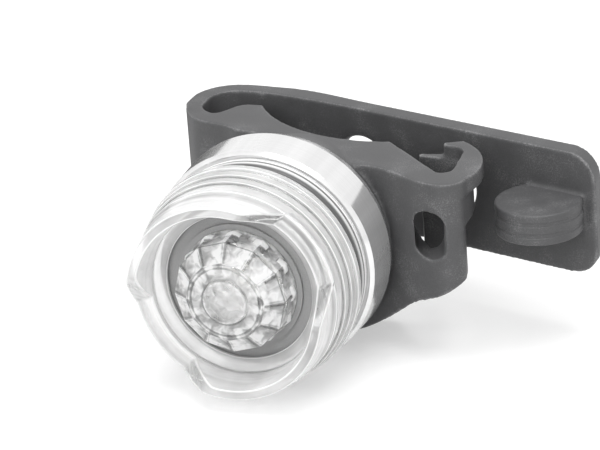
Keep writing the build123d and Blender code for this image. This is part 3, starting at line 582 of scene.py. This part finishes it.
def capSurface():
    corners = capCorners()
    line = closedProfile(corners, cap["edge"])
    radius = np.broadcast_to(line[:, :1], (len(line), cap["steps"]))
    depth = np.broadcast_to(line[:, 1:], radius.shape)
    angle = np.arange(cap["steps"])[None, :] * 2 * math.pi / cap["steps"]
    # the crown may rise by (distance from the gap's middle line - half width) / slope, eased at both ends
    baseRadius, baseY = cap["crownBase"]
    frontRadius, frontY = cap["crownFront"]
    full = baseY - frontY
    aside = np.abs(radius * np.sin(angle - math.radians(cap["gapAngle"])))
    free = (aside - cap["gapHalfWidth"]) / cap["gapSlope"]
    ease = cap["gapEase"]
    free = 0.5 * (free + np.sqrt(free ** 2 + ease ** 2)) - 0.5 * ease * np.exp(-(free / ease) ** 2)
    free = np.clip(0.5 * (free + full - np.sqrt((free - full) ** 2 + ease ** 2)), 0, full)
    above = baseY - depth
    # the rim keeps its rounding as it goes down, and the rows at the crown's foot stay under it
    rim, under = above - (full - free), cap["rimDepth"]
    foot = np.minimum(above, free - under - cap["footPacking"] * (under - above))
    lowered = np.where(above > full / 2, rim, np.where(above > -cap["footDepth"], foot, above))
    drop = above - lowered
    # a lowered point follows the slant of its own wall, outer, inner or between them on the rim
    share = np.clip((frontRadius - radius) / cap["crownRim"], 0, 1)
    outer = (baseRadius - frontRadius) / full
    inner = (cap["crownFoot"][0] - frontRadius + cap["crownRim"]) / (cap["crownFoot"][1] - frontY)
    radius = radius + drop * (outer * (1 - share) + inner * share)
    return radius, baseY - lowered, np.broadcast_to(paintedCornerShading(corners)[:, None], radius.shape)


capRadius, capDepth, capTone = capSurface()
capPiece = turned("clearCapShell", capRadius, capDepth, clearCap, "cap",
                  tone=capTone)
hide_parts("lens_cap")
print("clear cap:", len(capPiece.data.polygons), "faces")


# Clear gem: twelve facets on drum and crown, with a bead on each corner of the drum

gem = {
    # radius, or radius and depth, in mm; the flange has its back and its front depth
    "flange": (8.2, -8.06, -8.76), "waist": 8.05, "girdle": -12.56, "table": (5.6, -14.21),
    "lensRadius": 3.4, "lensHeight": 1.4, "lensRows": 14, "hollow": (2.6, -9.06),
    "facets": 12, "steps": 360, "edge": 0.2, "nearly": 0.05, "lensMargin": 0.4,
    # how far behind the girdle and the table the added rows end, and how many they are
    "drumRows": (0.35, 18), "crownRows": (0.3, 8),
    "beadHeight": 0.38, "beadWidth": 8.0, "beadFrom": -8.85, "beadTo": -10.1,
    "creaseDepth": 0.08, "creaseWidth": 0.16,
    # tones as a middle and a swing, and lines as a weight, a place and a width
    # painted light: each facet shaded from grey to white, and a painted highlight on the beads with
    # painted shade round them
    "lensTone": 0.5, "paintedCrownShading": (0.7, 0.2), "paintedDrumShading": (0.5, 0.2),
    "blockTone": (0.55, 0.25), "blockEdge": 4,
    "paintedBeadShading": 0.7, "paintedOutlineShade": 0.25, "outlineShare": 0.3,
    # lines of painted shade at the creases, at the front of the drum and round the table
    "paintedCreaseShade": (0.28, 0.25, 0.14), "paintedGirdleShade": (0.4, 0.12, 0.1), "paintedTableShade": (0.3, 0.15, 0.12),
}


def gemLine():
    # the gem's section, as radius and depth, from the hollow at its back to the middle of its lens
    flangeRadius, back, flangeFront = gem["flange"]
    tableRadius, tableY = gem["table"]
    corners = [(0, gem["hollow"][1]), gem["hollow"], (gem["hollow"][0], back), (flangeRadius, back),
               (flangeRadius, flangeFront), (gem["waist"], flangeFront), (gem["waist"], gem["girdle"]),
               (tableRadius, tableY), (gem["lensRadius"], tableY)]
    line = roundedProfile(corners, gem["edge"])
    for front, (margin, count) in ((gem["girdle"], gem["drumRows"]), (tableY, gem["crownRows"])):
        # more rows on the drum and the crown, for the beads and the creases
        where = int(np.argmax(line[:, 1] < front + margin))
        start, end = line[where - 1], line[where]
        t = np.linspace(0, 1, count + 2)[1:-1, None]
        line = np.concatenate([line[:where], start + (end - start) * t, line[where:]])
    # the round lens: depth = table - height * (1 - (r / lens radius) squared)
    lens = np.linspace(gem["lensRadius"], 0, gem["lensRows"])[1:]
    dome = tableY - gem["lensHeight"] * (1 - (lens / gem["lensRadius"]) ** 2)
    return np.concatenate([line, np.stack([lens, dome], axis=-1)])


def gemSurface():
    line = gemLine()
    flangeFront = gem["flange"][2]
    tableRadius, tableY = gem["table"]
    nearly = gem["nearly"]
    radius = np.broadcast_to(line[:, :1], (len(line), gem["steps"])).copy()
    depth = np.broadcast_to(line[:, 1:], radius.shape)
    angle = np.arange(gem["steps"])[None, :] * 2 * math.pi / gem["steps"]
    half = math.pi / gem["facets"]
    offset = np.mod(angle, 2 * half) - half
    # a polygon in place of the circle: r = R cos(half) / cos(angle from the facet's middle)
    polygon = math.cos(half) / np.cos(offset)
    faceted = (depth < flangeFront - nearly) & (radius > gem["lensRadius"] + gem["lensMargin"])
    radius = np.where(faceted, radius * polygon, radius)
    fromCorner = np.degrees(half - np.abs(offset)) / gem["beadWidth"]
    # a bead on each corner, with c across it from 0 to 1 and t along it from 0 to 1:
    # height = root of (1 - c squared) * root of 4 t (1 - t)
    along = np.clip((depth - gem["beadFrom"]) / (gem["beadTo"] - gem["beadFrom"]), 0, 1)
    bead = np.sqrt(np.clip(1 - fromCorner ** 2, 0, 1)) * np.sqrt(np.clip(4 * along * (1 - along), 0, 1))
    drum = (depth <= flangeFront) & (depth >= gem["girdle"] + nearly) & faceted
    radius = radius + np.where(drum, gem["beadHeight"] * bead, 0)
    # a crease on each corner of the crown, a bell across it, deepest half way along it
    crown = np.clip((gem["girdle"] - depth) / (gem["girdle"] - tableY), 0, 1)
    crease = np.exp(-(fromCorner / gem["creaseWidth"]) ** 2)
    crease = crease * np.sqrt(np.clip(4 * crown * (1 - crown), 0, 1))
    radius = radius - np.where(faceted, gem["creaseDepth"] * crease, 0)
    # tones: an even lens, short blocks round it, facets with painted shading from grey to white and
    # painted shade in the creases, and beads with a painted highlight and a painted shade outline
    lean = np.sin(offset / half * math.pi / 2)
    blocks = 0.5 + 0.5 * np.tanh(gem["blockEdge"] * np.sin(angle * gem["facets"]))
    tone = np.full(radius.shape, gem["lensTone"])
    behindTable = depth > tableY + nearly
    middle, swing = gem["paintedCrownShading"]
    tone = np.where((depth < gem["girdle"]) & behindTable, middle + swing * lean, tone)
    ring = ~behindTable & (line[:, :1] > gem["lensRadius"] + nearly)
    middle, swing = gem["blockTone"]
    tone = np.where(ring, middle + swing * blocks, tone)
    middle, swing = gem["paintedDrumShading"]
    beadCore = bead > gem["outlineShare"]
    outline = (bead > 0.0) & ~beadCore
    paintedBeadShading = gem["paintedBeadShading"] * beadCore - gem["paintedOutlineShade"] * outline
    tone = np.where(drum, middle + swing * lean + paintedBeadShading, tone)
    weight, spot, width = gem["paintedCreaseShade"]
    dark = np.exp(-((fromCorner - spot) / width) ** 2)
    tone = tone - np.where(faceted & ~drum & behindTable, weight * dark, 0)
    # thin lines of painted shade at the front of the drum and round the table
    weight, spot, width = gem["paintedGirdleShade"]
    tone = tone - weight * np.exp(-((depth - gem["girdle"] - spot) / width) ** 2) * faceted
    weight, spot, width = gem["paintedTableShade"]
    tone = tone - weight * np.exp(-((radius - tableRadius + spot) / width) ** 2) * ring
    return radius, depth, tone


gemRadius, gemDepth, gemTone = gemSurface()
gemPiece = turned("clearGemShell", gemRadius, gemDepth, clearGem, "button", tone=gemTone)
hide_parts("gem_lens")
print("clear gem:", len(gemPiece.data.polygons), "faces")


# Seal between the cap and the ring: two fine lips and a groove beside the cap

seal = {
    "bore": 13.4, "edge": 0.12, "steps": 360,
    # radius and depth of the corners from the ring to the cap
    "lips": [(14.9, -0.02), (15.05, -0.1), (15.05, -0.3), (14.72, -0.42), (14.72, -0.72), (15.05, -0.85),
             (15.05, -1.45), (14.62, -1.62), (14.62, -2.8), (14.9, -3.1), (14.45, -3.3), (14.45, -3.93)],
    # tone by depth, painted light: a painted highlight on a thin lip, painted shade in a groove, a pale
    # lip, then painted shadow in the groove beside the cap
    "toneDepth": [0.0, 0.3, 0.4, 0.75, 0.85, 1.4, 1.55, 2.8, 3.93],
    "paintedLightValue": [1.0, 0.9, 0.05, 0.05, 0.8, 0.7, 0.1, 0.15, 0.0],
}


def sealSurface():
    ringEnd, capEnd = seal["lips"][0][1], seal["lips"][-1][1]
    corners = [(seal["bore"], ringEnd), *seal["lips"], (seal["bore"], capEnd)]
    line = closedProfile(corners, seal["edge"], 3)
    radius, depth = (np.broadcast_to(line[:, k:k + 1], (len(line), seal["steps"])) for k in (0, 1))
    return radius, depth, np.interp(-depth, seal["toneDepth"], seal["paintedLightValue"])


sealRadius, sealDepth, sealTone = sealSurface()
sealPiece = turned("sealRing", sealRadius, sealDepth, sealRubber, "seal", tone=sealTone)
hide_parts("cap_seal")
print("seal:", len(sealPiece.data.polygons), "faces")


# Silicone mount: one moulding, cut where the strap leaves its bend

mount = {
    # where the painted edge highlight starts and how far it takes to reach full, in voxels
    "voxel": 0.28 * mm, "smoothSteps": 4, "highlightFrom": 0.06, "highlightSpan": 0.1,
    "hingeLow": (-22.1, 28.0, -7.0), "hingeHigh": (-19.4, 30.4, 11.0),   # mm, fills the living hinge
    "cutX": -14.9 * mm, "cutAbove": 31.0 * mm,
    "strapRight": 28.1 * mm, "dividerY": 28.8 * mm, "dividerSlope": math.tan(math.radians(16.5)),
    "blendStart": (-20.75 * mm, 29.6 * mm, 2 * mm), "blendEnd": (-20.75 * mm, 32.6 * mm, 2 * mm),
}


def mergedNodes(names):
    # one mesh from copies of CAD nodes, with their loose triangles joined up again
    joined = bmesh.new()
    for name in names:
        joined.from_mesh(nodes[name].data)
    bmesh.ops.remove_doubles(joined, verts=joined.verts, dist=1e-7)
    return joined


def addBlock(target, low, high):
    corners = bmesh.ops.create_cube(target, size=1.0)["verts"]
    low, high = np.array(low) * mm, np.array(high) * mm
    for corner in corners:
        corner.co = low + (np.array(corner.co) + 0.5) * (high - low)


def applied(piece, kind, **settings):
    # the piece's mesh with one modifier worked in
    modifier = piece.modifiers.new(kind.lower(), kind)
    for name, value in settings.items():
        setattr(modifier, name, value)
    bpy.context.view_layer.update()
    shaped = bpy.data.meshes.new_from_object(piece.evaluated_get(bpy.context.evaluated_depsgraph_get()))
    piece.modifiers.remove(modifier)
    piece.data = shaped


def mouldedForm():
    # cradle and strap as one soft-edged moulding: joined at the hinge, made of small cubes and smoothed
    shape = mergedNodes(["cradle", "strap_band"])
    addBlock(shape, mount["hingeLow"], mount["hingeHigh"])
    mesh = bpy.data.meshes.new("mouldedForm")
    shape.to_mesh(mesh)
    shape.free()
    piece = bpy.data.objects.new("mouldedForm", mesh)
    bpy.context.scene.collection.objects.link(piece)
    applied(piece, "REMESH", mode="VOXEL", voxel_size=mount["voxel"], adaptivity=0.0)
    applied(piece, "SMOOTH", factor=0.5, iterations=mount["smoothSteps"])
    return piece


def strapSide(point):
    # true behind the line that runs clear between the strap and the cradle, and right of the claw
    return point.x > mount["strapRight"] or point.y > mount["dividerY"] - mount["dividerSlope"] * point.x


def cutForm(source, name, keepRight):
    # the part of the moulding on one side of the cut across the strap, closed where it was cut
    shape = bmesh.new()
    shape.from_mesh(source.data)
    high = [face for face in shape.faces if min(v.co.y for v in face.verts) > mount["cutAbove"]]
    edges = list({edge for face in high for edge in face.edges})
    corners = list({vert for face in high for vert in face.verts})
    bmesh.ops.bisect_plane(shape, geom=high + edges + corners, plane_co=(mount["cutX"], 0, 0),
                           plane_no=(1, 0, 0), dist=1e-8)
    middles = [(face, face.calc_center_median()) for face in shape.faces]
    others = [face for face, middle in middles
              if (middle.x > mount["cutX"] and strapSide(middle)) != keepRight]
    bmesh.ops.delete(shape, geom=others, context="FACES")
    rim = [edge for edge in shape.edges if edge.is_boundary]
    for edge in rim:
        edge.smooth = False
    bmesh.ops.edgeloop_fill(shape, edges=rim)
    mesh = bpy.data.meshes.new(name)
    shape.to_mesh(mesh)
    shape.free()
    return mesh


def paintEdgeHighlight(mesh):
    # a painted highlight for outer edges: how far each point stands out from its neighbours, blurred
    # twice: 1 on an outer edge, 0 on a face
    count = len(mesh.vertices)
    points, normals = np.empty(count * 3), np.empty(count * 3)
    mesh.vertices.foreach_get("co", points)
    mesh.vertices.foreach_get("normal", normals)
    points, normals = points.reshape(-1, 3), normals.reshape(-1, 3)
    pairs = np.empty(len(mesh.edges) * 2, int)
    mesh.edges.foreach_get("vertices", pairs)
    a, b = pairs.reshape(-1, 2).T
    number = np.maximum(np.bincount(a, minlength=count) + np.bincount(b, minlength=count), 1)

    def neighbours(values):
        return (np.bincount(a, weights=values[b], minlength=count)
                + np.bincount(b, weights=values[a], minlength=count)) / number

    around = np.stack([neighbours(points[:, k]) for k in range(3)], axis=-1)
    out = np.einsum("ij,ij->i", points - around, normals) / mount["voxel"]
    for _ in range(2):
        out = 0.5 * (out + neighbours(out))
    edgeHighlight = mesh.attributes.new("edge", "FLOAT", "POINT")
    edgeHighlight.data.foreach_set("value", np.clip((out - mount["highlightFrom"]) / mount["highlightSpan"], 0, 1))


form = mouldedForm()
paintEdgeHighlight(form.data)
print("moulded form:", len(form.data.polygons), "faces")
for name, keepRight in (("siliconeMount", False), ("siliconeStrap", True)):
    mesh = cutForm(form, name, keepRight)
    mesh.polygons.foreach_set("use_smooth", np.ones(len(mesh.polygons), bool))
    mesh.materials.clear()
    mesh.materials.append(silicone)
    piece = bpy.data.objects.new(name, mesh)
    bpy.context.scene.collection.objects.link(piece)
    if keepRight:
        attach(piece, "strap")
        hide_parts("strap_band")
    else:
        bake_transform(piece)
        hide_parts("cradle")
    print(name, len(mesh.polygons), "faces")
bpy.data.objects.remove(form)


# Pull stud on the strap: three round layers

stud = {
    "centre": (34.4, 17.12), "radius": 6.06, "groove": 5.6, "top": 4.95, "layers": 3, "layer": 1.15,
    "gap": 0.5, "edge": 0.3, "steps": 128,
}


def studSurface():
    # radius and height from the middle of the top down the stepped side to the middle of the bottom
    corners = [(0, stud["top"])]
    for layer in range(stud["layers"]):
        high = stud["top"] - layer * (stud["layer"] + stud["gap"])
        low = high - stud["layer"]
        if layer > 0:
            corners += [(stud["groove"], high + stud["gap"]), (stud["groove"], high)]
        corners += [(stud["radius"], high), (stud["radius"], low)]
    line = roundedProfile(corners + [(0, low)], stud["edge"])
    return [np.broadcast_to(line[:, k:k + 1], (len(line), stud["steps"])) for k in (0, 1)]


studRadius, studHeight = studSurface()
studPiece = turned("pullStud", studRadius, studHeight, silicone, "strap",
                   "Z", stud["centre"])
print("pull stud:", len(studPiece.data.polygons), "faces")
